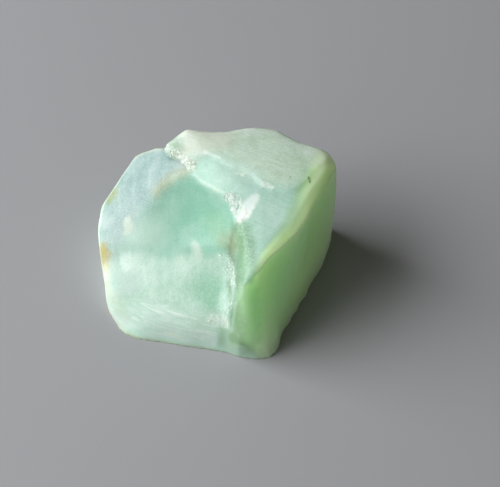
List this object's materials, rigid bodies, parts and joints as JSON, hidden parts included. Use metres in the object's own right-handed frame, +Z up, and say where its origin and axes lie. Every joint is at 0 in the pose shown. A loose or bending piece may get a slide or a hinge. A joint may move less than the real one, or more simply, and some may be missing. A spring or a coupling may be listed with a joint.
{
  "type": "raw gemstone",
  "caption": "Rough uncut lump of milky blue-green opal with a high frosted plate, a broken edge, a smooth hollow and a flat underside it rests on.",
  "frame": {"origin": "centre of the bounding box's underside, on the flat patch that the stone rests on", "axes": "+X along the stone's greatest length, towards its tall end; +Y towards its back; +Z up, its least extent"},
  "size_m": [0.0267, 0.0212, 0.0156],
  "materials": {
    "blue_opal": "milky translucent stone, frosted on its broken faces and glassy in its hollow"
  },
  "bodies": {
    "root": {"raw_opal": "blue_opal"}
  },
  "joints": []
}
